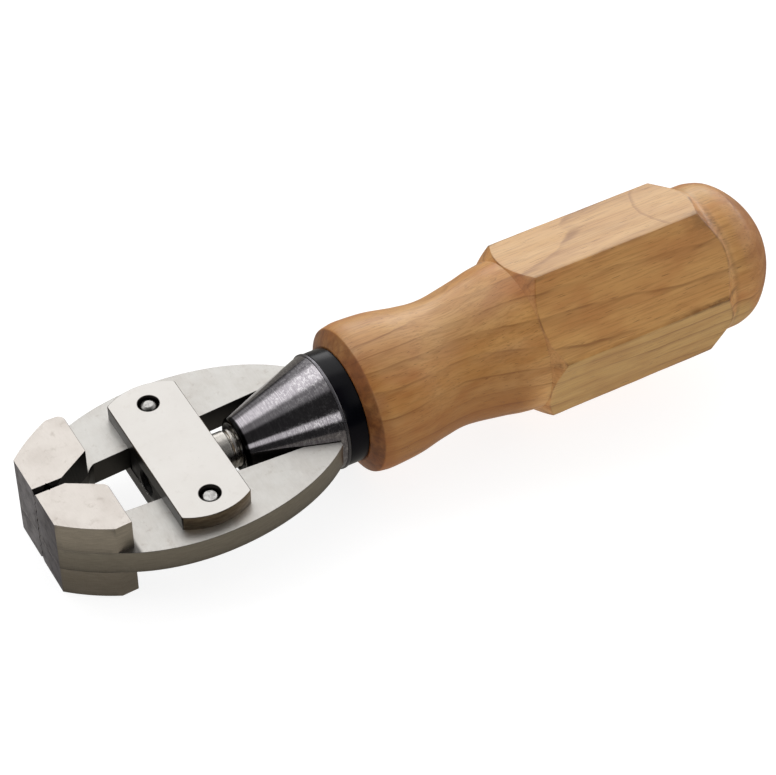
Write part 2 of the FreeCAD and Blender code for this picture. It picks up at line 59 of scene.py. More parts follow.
def span(node):
    """Lowest and highest corners of a CAD node, in tool millimetres."""
    low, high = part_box(node)
    return (low - ORIGIN) / MM, (high - ORIGIN) / MM


CONE_FRONT = span("spreader_cone")[0].x
CONE_REAR = span("thrust_washer")[0].x
SLEEVE_END = span("spreader_cone")[1].x
RING_FRONT = span("retaining_ring")[0].x
RING_REAR = span("retaining_ring")[1].x
WASHER_REAR = span("thrust_washer")[1].x
WASHER_RADIUS = span("thrust_washer")[1].y
FERRULE_FRONT = span("ferrule")[0].x
FERRULE_REAR = span("ferrule")[1].x
FERRULE_RADIUS = span("ferrule")[1].y
SCREW_RADIUS = span("drive_screw")[1].y
SCREW_FRONT = span("drive_screw")[0].x
SCREW_REAR = span("drive_screw")[1].x
SHANK_START = span("spacer_block")[1].x
WOOD_FRONT = span("wooden_handle")[0].x
WOOD_REAR = span("wooden_handle")[1].x
PIN_CENTRE = (span("far_pivot_pin")[0] + span("far_pivot_pin")[1]) / 2
PIN_RADIUS = (span("far_pivot_pin")[1].x - span("far_pivot_pin")[0].x) / 2
PIN_CROWN = span("far_pivot_pin")[1].z
JAW_BOTTOM = span("far_jaw_lower")[0].z
JAW_REAR = span("far_jaw_lower")[1].x

THREAD_PITCH = 1.25
THREAD_DEPTH = 0.5
THREAD_START = 39.9
SPIGOT_RADIUS = 2.5
CONE_TIP_RADIUS = 5.85
CONE_REAR_RADIUS = 12.0
SLEEVE_RADIUS = 6.2
RING_FLOOR_RADIUS = 5.4
FERRULE_STEP = 66.0             # the wide cavity behind the ferrule's front starts here
FERRULE_CAVITY_RADIUS = 8.0
FERRULE_NECK_RADIUS = 10.0
WELL_RADIUS = 2.2               # the plates' holes over the pins
TIP_RADIUS = 0.02               # radius of the small flat that closes a turned end

HEX_TILT = math.radians(17.4)   # the top flat leans this far from +Z towards +Y
HEX_CORNER = -span("wooden_handle")[0].z / math.cos(math.radians(30) - HEX_TILT)
HEX_APOTHEM = HEX_CORNER * math.cos(math.radians(30))

WOOD_EDGE = WOOD_FRONT + 1.75   # the front face's edge
HEX_FROM = 105.0                # the planed flats run out before these two
HEX_TO = 149.6
HEX_FULL_FROM = 108.2           # the corners have full radius between these two
HEX_FULL_TO = 146.3
GROOVE_X = 150.4                # before the dome
HANDLE_SEGMENTS = 360
ARC_APEX = 137.0                # front of the grain line that arches across the top flat
PITH_SIDE = 10.2                # centre of the growth rings: this far towards the near side
PITH_DEPTH = 32.4               # and this far below the axis
RING_SPACING = 4.2


# ---- mesh helpers -----------------------------------------------------------------------
def new_mesh_piece(name, points, faces, material, sharp_deg=35):
    """Object from tool-millimetre points, smooth but for edges sharper than sharp_deg."""
    mesh = bpy.data.meshes.new(name)
    mesh.from_pydata([at(*p) for p in points], [], faces)
    mesh.validate()
    mesh.polygons.foreach_set("use_smooth", [True] * len(mesh.polygons))
    mesh.set_sharp_from_angle(angle=math.radians(sharp_deg))
    mesh.materials.append(material)
    piece = bpy.data.objects.new(name, mesh)
    bpy.context.scene.collection.objects.link(piece)
    return piece


def stand_for(piece, body, slot, *nodes):
    """The piece rides on a body and replaces the CAD nodes it details."""
    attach(piece, body)
    if nodes:
        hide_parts(*nodes)
    return piece


def rounded(corners, radius, steps=4):
    """Closed outline with each corner cut back by radius and filled with a short curve."""
    outline = []
    count = len(corners)
    for index, corner in enumerate(corners):
        here = Vector(corner)
        before = Vector(corners[index - 1]) - here
        after = Vector(corners[(index + 1) % count]) - here
        cut = min(radius, before.length * 0.45, after.length * 0.45)
        start = here + before.normalized() * cut
        end = here + after.normalized() * cut
        for step in range(steps + 1):
            t = step / steps
            outline.append(tuple(start * (1 - t) ** 2 + here * 2 * t * (1 - t) + end * t ** 2))
    return outline


def grid_faces(rings, segments, closed_rings):
    """Quads between successive rings of the same number of points."""
    faces = []
    last = rings if closed_rings else rings - 1
    for ring in range(last):
        a = ring * segments
        b = ((ring + 1) % rings) * segments
        for k in range(segments):
            k2 = (k + 1) % segments
            faces.append((a + k, a + k2, b + k2, b + k))
    return faces


def lathe_x(name, outline, material, sharp_deg=35):
    """Solid of revolution about the tool axis from a closed (x, radius) outline."""
    segments = 192
    points = []
    for x, radius in outline:
        for k in range(segments):
            angle = 2 * math.pi * k / segments
            points.append((x, radius * math.cos(angle), radius * math.sin(angle)))
    faces = grid_faces(len(outline), segments, True)
    return new_mesh_piece(name, points, faces, material, sharp_deg)


def axis_point(x, radius, angle):
    """Point at a distance from the tool axis, its angle counted from +Z towards +Y."""
    return (x, radius * math.sin(angle), radius * math.cos(angle))


def smooth_min(a, b, blend):
    """Smaller of two lengths, with the corner between them rounded over blend."""
    h = max(blend - abs(a - b), 0) / blend
    return min(a, b) - h * h * blend / 4


# ---- node helpers -----------------------------------------------------------------------
class Nodes:
    """Short calls that add nodes to one tree and return their output sockets."""

    def __init__(self, tree):
        self.tree = tree
        self.tree.nodes.clear()
        self.place = self.tree.nodes.new("ShaderNodeTexCoord")

    def feed(self, socket, value):
        """Link a socket to another, or give it a plain value."""
        if isinstance(value, bpy.types.NodeSocket):
            self.tree.links.new(value, socket)
        else:
            socket.default_value = value

    def node(self, kind, inputs, output=0, **settings):
        made = self.tree.nodes.new("ShaderNode" + kind)
        for key, value in settings.items():
            setattr(made, key, value)
        for key, value in inputs.items():
            self.feed(made.inputs[key], value)
        return made.outputs[output]

    def spot(self, scale=(1, 1, 1), turn=(0, 0, 0), shift=(0, 0, 0)):
        """Object coordinates in tool millimetres, then shifted, turned and scaled."""
        centred = self.node("Mapping", {
            "Vector": self.place.outputs["Object"],
            "Location": tuple(-c / MM for c in ORIGIN),
            "Scale": (1 / MM,) * 3,
        })
        return self.node("Mapping", {
            "Vector": centred, "Location": shift, "Rotation": turn, "Scale": scale,
        })

    def noise(self, vector, scale, detail=3.0, roughness=0.5, distortion=0.0):
        return self.node("TexNoise", {
            "Vector": vector, "Scale": scale, "Detail": detail,
            "Roughness": roughness, "Distortion": distortion,
        })

    def calc(self, operation, a, b=0.0, c=0.0):
        return self.node("Math", {0: a, 1: b, 2: c}, operation=operation)

    def times(self, *values):
        product = values[0]
        for value in values[1:]:
            product = self.calc("MULTIPLY", product, value)
        return product

    def plus(self, *values):
        total = values[0]
        for value in values[1:]:
            total = self.calc("ADD", total, value)
        return total

    def fade(self, value, low, high, out_low=0.0, out_high=1.0):
        """Value moved from one range to another, clamped and eased."""
        return self.node("MapRange", {
            "Value": value, "From Min": low, "From Max": high,
            "To Min": out_low, "To Max": out_high,
        }, interpolation_type="SMOOTHSTEP")

    def blend(self, share, a, b, mode="MIX"):
        """Mix of two colours by share."""
        made = self.tree.nodes.new("ShaderNodeMix")
        made.data_type = "RGBA"
        made.blend_type = mode
        self.feed(made.inputs["Factor"], share)
        self.feed(made.inputs[6], a)
        self.feed(made.inputs[7], b)
        return made.outputs[2]

    def ramp(self, value, *stops):
        """Colour ramp from (position, colour) stops."""
        made = self.tree.nodes.new("ShaderNodeValToRGB")
        self.feed(made.inputs[0], value)
        elements = made.color_ramp.elements
        while len(elements) < len(stops):
            elements.new(1.0)
        for element, (position, colour) in zip(elements, stops):
            element.position = position
            element.color = colour
        return made.outputs[0]

    def split(self, vector):
        made = self.tree.nodes.new("ShaderNodeSeparateXYZ")
        self.feed(made.inputs[0], vector)
        return made.outputs


class Shader(Nodes):
    """One procedural material with a Principled surface."""

    def __init__(self, name, **principled):
        self.material = bpy.data.materials.new(name)
        self.material.use_nodes = True
        super().__init__(self.material.node_tree)
        output = self.tree.nodes.new("ShaderNodeOutputMaterial")
        self.surface = self.tree.nodes.new("ShaderNodeBsdfPrincipled")
        self.tree.links.new(self.surface.outputs[0], output.inputs["Surface"])
        self.set(**principled)

    def bump(self, height, strength, depth_mm):
        """Adds a height in front of any bump already on the surface."""
        made = self.tree.nodes.new("ShaderNodeBump")
        made.inputs["Strength"].default_value = strength
        made.inputs["Distance"].default_value = depth_mm * MM
        self.feed(made.inputs["Height"], height)
        normal = self.surface.inputs["Normal"]
        if normal.is_linked:
            self.tree.links.new(normal.links[0].from_socket, made.inputs["Normal"])
        self.tree.links.new(made.outputs[0], normal)

    def set(self, **values):
        """Feed inputs of the surface, their names written with underscores."""
        for key, value in values.items():
            self.feed(self.surface.inputs[key.replace("_", " ")], value)


def rgb(red, green, blue):
    """Linear colour of an 8-bit display colour."""
    def linear(value):
        value /= 255
        return value / 12.92 if value <= 0.04045 else ((value + 0.055) / 1.055) ** 2.4
    return (linear(red), linear(green), linear(blue), 1.0)


# ---- materials --------------------------------------------------------------------------
def throat_share(shader):
    """1 on faces that look inwards at the tool's axis, 0 elsewhere: the mask of the painted shade
    in the throat.
    """
    position = shader.split(shader.spot())
    normal = shader.split(shader.place.outputs["Normal"])
    inward = shader.times(shader.calc("SIGN", position[1]), normal[1])
    return shader.fade(inward, -0.35, -0.6)


def upper_edge(shader, normal):
    """1 on the narrow broken edges between a flat and a side, 0 elsewhere: the mask of the painted
    shade lines along the edges.
    """
    slant = shader.calc("ABSOLUTE", normal[2])
    return shader.times(shader.fade(slant, 0.15, 0.4), shader.fade(slant, 0.97, 0.85))


def steel_grime(shader, tone, strength):
    """Faint mottling and small dark specks over a steel colour."""
    cloud = shader.noise(shader.spot(), 0.16, 4, 0.6)
    cloud = shader.fade(cloud, 0.35, 0.7, 0.0, strength)
    clouded = shader.blend(cloud, tone, rgb(150, 140, 132))
    stain = shader.noise(shader.spot(shift=(1, 7, 2)), 0.5, 4, 0.7)
    stain = shader.fade(stain, 0.55, 0.75, 0.0, strength * 1.6)
    clouded = shader.blend(stain, clouded, rgb(140, 130, 120))
    speck = shader.noise(shader.spot(shift=(7, 3, 5)), 1.9, 2, 0.7)
    return shader.blend(shader.fade(speck, 0.70, 0.78, 0.0, 0.35), clouded, rgb(70, 62, 55))


def darker(tone, share):
    """A colour with its red, green and blue scaled down."""
    return [channel * share for channel in tone[:3]] + [1]


def ground_side(shader, side, height, brushed):
    """Ground side faces: brushed in the colour side, with painted shade making them browner and
    darker towards the bottom.
    """
    tone = shader.blend(shader.fade(brushed, 0.3, 0.7), side, darker(side, 0.75))
    # painted shade: the sides turn browner and darker towards the bottom
    return shader.blend(shader.fade(height, 8, -8, 0.0, 0.6), tone, rgb(96, 86, 76))


def nose_patina(shader, sideways):
    """Mottled front faces, darker towards the near side."""
    patina = shader.noise(shader.spot(shift=(2, 0, 1)), 0.35, 5, 0.65, 0.4)
    tone = shader.ramp(
        patina, (0.35, rgb(126, 123, 128)), (0.5, rgb(164, 162, 167)),
        (0.62, rgb(180, 177, 182)), (0.75, rgb(134, 130, 134)),
    )
    return shader.blend(shader.fade(sideways, 4, -9, 0.0, 0.6), tone, rgb(84, 80, 86))


def ground_steel(name, top, side, throat_shade, shade_from):
    """Satin ground steel: light flats; the sides' own browner tone, their darkening downwards, the
    darker edges and the dark faces inside the throat are painted shade.

    Painted contact shade lies on the flats from the start given as the last argument to just behind
    the jaws' rear faces.
    """
    shader = Shader(name, Metallic=1.0)
    ahead, sideways, height = shader.split(shader.spot())[:]
    normal = shader.split(shader.place.outputs["Normal"])
    flat = shader.fade(shader.calc("ABSOLUTE", normal[2]), 0.55, 0.9)
    nose = shader.fade(normal[0], -0.8, -0.95)
    brushed = shader.noise(shader.spot(scale=(0.25, 0.25, 5.0)), 1.6, 4, 0.65)
    # painted shade: the sides keep their own browner tone apart from the flats
    tone = ground_side(shader, side, height, brushed)
    tone = shader.blend(flat, tone, steel_grime(shader, top, 0.25))
    tone = shader.blend(nose, tone, nose_patina(shader, sideways))
    # painted shade: dark lines along the broken edges
    tone = shader.blend(shader.times(upper_edge(shader, normal), 0.5), tone, rgb(58, 53, 50))
    # painted shade: faces that look into the throat take its dark tone
    tone = shader.blend(throat_share(shader), tone, throat_shade)
    # painted contact shade on the flats just behind the jaws' rear faces
    corner = shader.times(
        shader.fade(ahead, shade_from, shade_from + 0.15),
        shader.fade(ahead, JAW_REAR + 1.0, JAW_REAR + 0.15),
    )
    tone = shader.blend(shader.times(corner, flat, 0.8), tone, rgb(40, 37, 34))
    scratch = shader.noise(shader.spot(scale=(6, 0.5, 0.5), turn=(0, 0, 0.35)), 1.2, 4, 0.7)
    rough = shader.fade(scratch, 0.3, 0.7, 0.34, 0.5)
    rough = shader.plus(rough, shader.times(nose, 0.12))
    shader.set(Base_Color=tone, Roughness=rough)
    shader.bump(brushed, 0.12, 0.02)
    shader.bump(scratch, 0.06, 0.01)
    return shader.material


def from_pins(shader):
    """Distance from the nearer pivot pin's centre line, in millimetres."""
    position = shader.split(shader.spot())
    ahead = shader.plus(position[0], -PIN_CENTRE.x)
    aside = shader.plus(shader.calc("ABSOLUTE", position[1]), -PIN_CENTRE.y)
    return shader.calc("SQRT", shader.plus(shader.times(ahead, ahead), shader.times(aside, aside)))


def domed_steel(name, crown_radius):
    """Grey dome with a painted highlight, its crown lighter than the slope, and painted shade
    darkening round its foot.
    """
    shader = Shader(name, Metallic=1.0)
    cloud = shader.noise(shader.spot(), 1.4, 3, 0.6)
    off = from_pins(shader)
    tone = shader.blend(shader.fade(cloud, 0.35, 0.7), rgb(176, 174, 172), rgb(140, 138, 136))
    # painted highlight: the crown lighter than the slope round it
    slope = shader.fade(off, crown_radius, crown_radius + 0.15)
    tone = shader.blend(slope, tone, rgb(128, 126, 124))
    # painted shade round the foot of the dome
    foot_shade = shader.fade(off, crown_radius + 0.4, PIN_RADIUS - 0.15)
    tone = shader.blend(foot_shade, tone, rgb(52, 50, 49))
    shader.set(Base_Color=tone, Roughness=shader.fade(cloud, 0.3, 0.7, 0.24, 0.34))
    return shader.material


def polished_plate(name):
    """Very light smooth plate; its darker brown side faces, near-black front side face, darker
    broken edges and dark holes round the pins are painted shade.
    """
    shader = Shader(name, Metallic=1.0)
    normal = shader.split(shader.place.outputs["Normal"])
    flat = shader.fade(shader.calc("ABSOLUTE", normal[2]), 0.82, 0.97)
    # painted shade: the side faces a darker brown than the face
    edge_noise = shader.noise(shader.spot(scale=(0.6, 0.6, 2.5)), 0.8, 3, 0.6)
    edge = shader.blend(shader.fade(edge_noise, 0.3, 0.7), rgb(118, 102, 84), rgb(146, 130, 108))
    # painted shade: the front side face near black
    front = shader.fade(normal[0], -0.5, -0.9)
    edge = shader.blend(front, edge, rgb(12, 11, 11))
    # painted shade: dark lines along the broken edges
    edge = shader.blend(shader.times(upper_edge(shader, normal), 0.6), edge, rgb(52, 47, 43))
    face = steel_grime(shader, rgb(187, 184, 180), 0.08)
    haze = shader.noise(shader.spot(scale=(1, 0.5, 1)), 0.09, 2, 0.5)
    # painted shade: the holes round the pins dark
    well_shade = shader.fade(from_pins(shader), WELL_RADIUS + 0.18, WELL_RADIUS)
    shader.set(
        Base_Color=shader.blend(well_shade, shader.blend(flat, edge, face), rgb(60, 57, 55)),
        Roughness=shader.fade(haze, 0.35, 0.65, 0.26, 0.34),
    )
    shader.bump(shader.noise(shader.spot(scale=(5, 0.4, 1)), 1.5, 3, 0.6), 0.03, 0.01)
    return shader.material


def bright_steel(name, tone, roughness, ring_scale=0.0):
    """Turned bright steel, with rings round the tool axis where ring_scale is set."""
    shader = Shader(name, Metallic=1.0)
    cloud = shader.noise(shader.spot(), 0.7, 3, 0.6)
    shader.set(Base_Color=shader.blend(shader.fade(cloud, 0.35, 0.75), tone, darker(tone, 0.72)))
    shader.set(Roughness=shader.fade(cloud, 0.3, 0.7, roughness, roughness + 0.12))
    if ring_scale:
        rings = shader.noise(shader.spot(scale=(ring_scale, 0.15, 0.15)), 1.0, 4, 0.7)
        shader.bump(rings, 0.2, 0.02)
    return shader.material


def black_steel(name):
    """Matt black oxide with a grey sheen where it has rubbed."""
    shader = Shader(name, Metallic=0.7)
    cloud = shader.noise(shader.spot(), 0.5, 4, 0.6)
    shader.set(
        Base_Color=shader.blend(shader.fade(cloud, 0.4, 0.75), rgb(22, 22, 23), rgb(44, 43, 42)),
        Roughness=shader.fade(cloud, 0.3, 0.7, 0.42, 0.6),
    )
    shader.bump(shader.noise(shader.spot(), 3.0, 3, 0.6), 0.1, 0.02)
    return shader.material


def blued_collar(name):
    """Smooth satin blue-black collar with faint turning rings."""
    shader = Shader(name, Specular_IOR_Level=0.16)
    cloud = shader.noise(shader.spot(scale=(0.6, 1, 1)), 0.25, 3, 0.5)
    tone = shader.blend(shader.fade(cloud, 0.3, 0.75), rgb(2, 3, 8), rgb(7, 5, 12))
    rings = shader.noise(shader.spot(scale=(7, 0.1, 0.1)), 1.0, 3, 0.6)
    shader.set(Base_Color=tone, Roughness=shader.fade(rings, 0.3, 0.7, 0.16, 0.24))
    shader.bump(rings, 0.03, 0.01)
    return shader.material


def turned_gunmetal(name):
    """Gunmetal with faint rings round the axis, flecks that thicken to the rear, and painted shade
    making the mouth black.
    """
    shader = Shader(name, Metallic=1.0)
    along = shader.split(shader.spot())[0]
    rings = shader.noise(shader.spot(scale=(8, 0.14, 0.14)), 1.0, 5, 0.75)
    flecks = shader.noise(shader.spot(scale=(2.0, 1.3, 1.3), shift=(3, 1, 2)), 1.0, 5, 0.8)
    tone = shader.ramp(
        rings, (0.3, rgb(116, 112, 116)), (0.5, rgb(136, 132, 136)), (0.68, rgb(164, 160, 163))
    )
    worn = shader.times(
        shader.fade(flecks, 0.48, 0.64), shader.fade(along, CONE_FRONT, CONE_REAR, 0.05, 0.55)
    )
    tone = shader.blend(worn, tone, rgb(215, 212, 213))
    # painted shade: the mouth black
    mouth = shader.fade(along, CONE_FRONT + 1.1, CONE_FRONT + 0.8)
    tone = shader.blend(mouth, tone, rgb(16, 16, 16))
    shader.set(Base_Color=tone, Roughness=shader.fade(flecks, 0.3, 0.7, 0.07, 0.15))
    shader.bump(rings, 0.06, 0.02)
    shader.bump(flecks, 0.12, 0.02)
    return shader.material


def growth_rings(shader, position):
    """Share of dark late wood: rings round a pith far below the handle, leaning up to the rear."""
    back = shader.plus(position[0], -ARC_APEX)
    wander = shader.noise(shader.spot(scale=(0.022, 0.05, 0.05)), 1.0, 2, 0.5)
    wiggle = shader.noise(shader.spot(scale=(0.11, 0.16, 0.16), shift=(3, 8, 5)), 1.0, 2, 0.5)
    side = shader.plus(position[1], PITH_SIDE, shader.times(back, -0.024))
    rise = shader.plus(position[2], PITH_DEPTH, shader.times(back, -0.076))
    distance = shader.calc("SQRT", shader.plus(shader.times(side, side), shader.times(rise, rise)))
    near_side = shader.fade(position[1], 4.0, -12.0)
    fall = shader.times(back, near_side, 0.15)
    distance = shader.plus(distance, fall, shader.times(wander, 4.0), shader.times(wiggle, 1.1))
    turn = shader.calc("DIVIDE", distance, RING_SPACING)
    ring = shader.calc("FRACT", turn)
    late = shader.times(shader.fade(ring, 0.45, 0.95, 0.0, 0.75), shader.fade(ring, 1.0, 0.95))
    line = shader.times(shader.fade(ring, 0.86, 0.94), shader.fade(ring, 1.0, 0.965))
    broken = shader.noise(shader.spot(scale=(0.05, 0.3, 0.3), shift=(8, 2, 6)), 1.0, 2, 0.6)
    parted = shader.noise(shader.spot(scale=(0.04, 0.16, 0.16), shift=(5, 5, 2)), 1.0, 2, 0.6)
    return shader.plus(
        shader.times(late, shader.fade(broken, 0.35, 0.62, 0.15, 1.0)),
        shader.times(line, shader.fade(parted, 0.42, 0.6, 0.05, 0.95)),
    )


def on_flat(shader, normal, turns, low=0.93, high=0.99):
    """1 on faces that look the way one flat does, counted in sixths of a turn from the top."""
    angle = HEX_TILT + turns * math.pi / 3
    facing = shader.plus(
        shader.times(normal[1], math.sin(angle)), shader.times(normal[2], math.cos(angle))
    )
    return shader.fade(facing, low, high)


def cathedral(shader, position, normal):
    """Thin grain line that arches across the top flat and opens to the rear."""
    across = shader.plus(
        shader.times(position[1], math.cos(HEX_TILT)),
        shader.times(position[2], -math.sin(HEX_TILT)), 1.5,
    )
    ragged = shader.noise(shader.spot(shift=(4, 4, 1)), 0.3, 3, 0.6)
    arch = shader.plus(position[0], shader.times(across, across, -0.035), shader.times(ragged, 1.6))
    line = shader.times(
        shader.fade(arch, ARC_APEX + 1.75, ARC_APEX + 2.05),
        shader.fade(arch, ARC_APEX + 2.9, ARC_APEX + 2.1),
    )
    return shader.times(line, on_flat(shader, normal, 0, 0.985, 0.995))


def wood_ground(shader, along, normal, streak, blotch):
    """Base colours: soft streaks and blotches, and painted light and shade on the planed flats,
    each flat in its own paler or darker tone.
    """
    tone = shader.blend(shader.fade(streak, 0.32, 0.68), rgb(211, 158, 95), rgb(197, 140, 79))
    tone = shader.blend(shader.fade(blotch, 0.46, 0.66, 0.0, 0.7), tone, rgb(176, 106, 52))
    tone = shader.blend(shader.fade(blotch, 0.45, 0.3, 0.0, 0.4), tone, rgb(218, 172, 112))
    planed = shader.fade(along, HEX_FROM - 1, HEX_FROM + 2)
    # painted light and shade: the top flat paler, the lowest flat darker
    flats = (
        (0, 0.65, rgb(208, 170, 118)),
        (-1, 0.35, rgb(208, 158, 94)),
        (-2, 0.55, rgb(176, 148, 90)),
    )
    for turns, share, painted_light in flats:
        here = shader.times(on_flat(shader, normal, turns), planed, share)
        tone = shader.blend(here, tone, painted_light)
    return tone


def wood_wear_light_and_shade(shader, tone, position, normal, blotch):
    """Turned waist: painted light pales its top, painted shade darkens it towards the bottom, and
    wear darkens it where the fingers hold its front, kept lighter on up-facing faces by painted
    light.
    """
    turned = shader.fade(position[0], 106, 98)
    # painted light: up-facing faces of the waist paler
    painted_light = shader.times(shader.fade(normal[2], 0.7, 0.95), turned, 0.4)
    tone = shader.blend(painted_light, tone, rgb(190, 152, 108))
    # painted shade: the waist darker towards the bottom
    low = shader.times(shader.fade(position[2], 15, -6, 0.0, 0.82), turned)
    tone = shader.blend(low, tone, rgb(139, 85, 31))
    # wear where the fingers hold, weaker on up-facing faces as painted light
    held = shader.times(
        shader.fade(position[0], WOOD_EDGE + 17, WOOD_EDGE + 3, 0.0, 0.5),
        shader.fade(blotch, 0.36, 0.56),
        shader.fade(normal[2], 0.95, 0.5, 0.3, 1.0),
    )
    return shader.blend(held, tone, rgb(164, 96, 44))


def wood_grain(shader, tone, position, normal, fibre, pore):
    """Growth rings, the arching line, fibres, pores and dirt along the worn creases."""
    tone = shader.blend(shader.times(growth_rings(shader, position), 0.36), tone, rgb(118, 68, 32))
    arch = shader.times(cathedral(shader, position, normal), 0.4)
    tone = shader.blend(arch, tone, rgb(140, 92, 50))
    tone = shader.blend(shader.fade(fibre, 0.45, 0.66, 0.0, 0.26), tone, rgb(126, 78, 38))
    tone = shader.blend(shader.times(pore, 0.5), tone, rgb(86, 50, 26))
    crease = shader.node("Attribute", {}, 2, attribute_name="crease")
    patchy = shader.noise(shader.spot(shift=(1, 6, 2)), 0.11, 3, 0.7)
    crease = shader.times(crease, shader.fade(patchy, 0.42, 0.62, 0.06, 0.7))
    return shader.blend(crease, tone, rgb(104, 64, 32))


def wood_ends(shader, tone, position, normal, dome):
    """Burnished rim and dome and the dark end grain of the front face, with painted light keeping
    the rim's burnish weaker on up-facing faces and painted shade darkening the front face towards
    the bottom.
    """
    along = position[0]
    end_grain = shader.fade(shader.calc("ABSOLUTE", normal[0]), 0.45, 0.95)
    # painted light: the rim's burnish weaker on up-facing faces
    rim = shader.times(
        shader.fade(along, WOOD_EDGE + 3.5, WOOD_EDGE, 0.0, 0.55),
        shader.fade(normal[2], 0.95, 0.5, 0.35, 1.0),
    )
    burnish = shader.calc("MAXIMUM", dome, shader.times(end_grain, 0.5))
    burnish = shader.calc("MAXIMUM", rim, burnish)
    mottle = shader.noise(shader.spot(scale=(0.3, 1, 1)), 0.3, 3, 0.55)
    burnish = shader.times(burnish, shader.fade(mottle, 0.3, 0.7, 0.62, 1.0))
    tone = shader.blend(burnish, tone, rgb(135, 76, 28))
    flecks = shader.noise(shader.spot(scale=(0.3, 1, 1)), 0.5, 4, 0.65)
    # dark end grain, with painted shade darker towards the bottom
    front = shader.times(
        shader.fade(along, WOOD_EDGE + 0.25, WOOD_EDGE - 0.15),
        shader.fade(position[2], 6, 15, 0.96, 0.6),
        shader.fade(flecks, 0.3, 0.7, 0.5, 1.0),
    )
    return shader.blend(front, tone, rgb(86, 44, 16))


def handle_wood(name):
    """Fine-grained hardwood with soft growth rings, pores, stains and burnished ends, and painted
    light and shade on its flats, waist, rim, front face and front corners.
    """
    shader = Shader(name, Specular_IOR_Level=0.38, IOR=1.5)
    position = shader.split(shader.spot())
    normal = shader.split(shader.place.outputs["Normal"])
    fibre = shader.noise(shader.spot(scale=(0.12, 2.6, 2.6)), 1.0, 4, 0.6, 0.2)
    streak = shader.noise(shader.spot(scale=(0.03, 0.45, 0.45), shift=(4, 9, 1)), 1.0, 3, 0.6)
    blotch = shader.noise(shader.spot(scale=(0.05, 0.10, 0.10), shift=(1, 5, 3)), 1.0, 3, 0.6)
    pores = shader.noise(shader.spot(scale=(0.3, 4.6, 4.6), shift=(9, 2, 7)), 1.0, 2, 0.4)
    pore = shader.fade(pores, 0.66, 0.73)
    dome = shader.fade(position[0], WOOD_REAR - 14, WOOD_REAR - 4, 0.0, 0.85)
    tone = wood_ground(shader, position[0], normal, streak, blotch)
    tone = wood_wear_light_and_shade(shader, tone, position, normal, blotch)
    tone = wood_grain(shader, tone, position, normal, fibre, pore)
    tone = wood_ends(shader, tone, position, normal, dome)
    # dirt, and painted shade at the front corners
    tone = shader.blend(edge_grime_and_shade(shader, position), tone, rgb(74, 46, 26))
    rough = shader.plus(shader.fade(streak, 0.3, 0.7, 0.28, 0.36), shader.times(dome, 0.16))
    shader.set(Base_Color=tone, Roughness=rough)
    shader.bump(fibre, 0.12, 0.05)
    shader.bump(shader.calc("SUBTRACT", 1.0, pore), 0.3, 0.06)
    return shader.material


def edge_grime_and_shade(shader, position):
    """Dark, broken dirt in the dome's groove and on the rear shoulder, and at the front corners
    torn grain darkened further by painted shade.
    """
    along, aside, height = position[0], position[1], position[2]
    ragged = shader.noise(shader.spot(scale=(0.5, 1, 1), shift=(6, 1, 4)), 1.0, 5, 0.7)
    angle = shader.calc("ARCTAN2", aside, height)
    corner = shader.calc("COSINE", shader.times(shader.plus(angle, -HEX_TILT), 6.0))
    at_corner = shader.fade(corner, -0.95, -1.0)
    groove = shader.times(
        shader.fade(along, GROOVE_X - 1.0, GROOVE_X),
        shader.fade(along, GROOVE_X + 1.1, GROOVE_X), 0.2,
    )
    rear = shader.times(
        shader.fade(along, 128, 146), shader.fade(along, 150.5, 149),
        at_corner, shader.fade(aside, -10, -14), 0.62,
    )
    # painted shade at the front corner facets, partly torn grain
    front = shader.times(
        shader.fade(along, 104.8, 106.5), shader.fade(along, 111, 108), at_corner, 0.4
    )
    upper = shader.times(
        shader.fade(along, 141, 148), shader.fade(along, 151.2, 150),
        shader.fade(aside, -1.5, -3.5), shader.fade(aside, -9, -5),
        shader.fade(height, 12, 16), 0.45,
    )
    worn = shader.plus(groove, rear, front, upper)
    return shader.times(worn, shader.fade(ragged, 0.34, 0.6, 0.2, 1.0))


# ---- the wooden handle ------------------------------------------------------------------
def curve_through(knots, step):
    """Smooth run of (x, radius) points through the knots, about step apart."""
    run = []
    for index in range(len(knots) - 1):
        p0 = Vector(knots[max(index - 1, 0)])
        p1 = Vector(knots[index])
        p2 = Vector(knots[index + 1])
        p3 = Vector(knots[min(index + 2, len(knots) - 1)])
        count = max(2, round((p2 - p1).length / step))
        for k in range(count):
            t = k / count
            point = 0.5 * (
                2 * p1 + (p2 - p0) * t + (2 * p0 - 5 * p1 + 4 * p2 - p3) * t * t
                + (3 * p1 - 3 * p2 + p3 - p0) * t ** 3
            )
            run.append((point.x, point.y))
    run.append(tuple(knots[-1]))
    return run


def straight_run(start, end, step):
    """Even points about step apart from start towards end, which is left out."""
    count = max(1, round((Vector(end) - Vector(start)).length / step))
    return [tuple(Vector(start).lerp(Vector(end), k / count)) for k in range(count)]


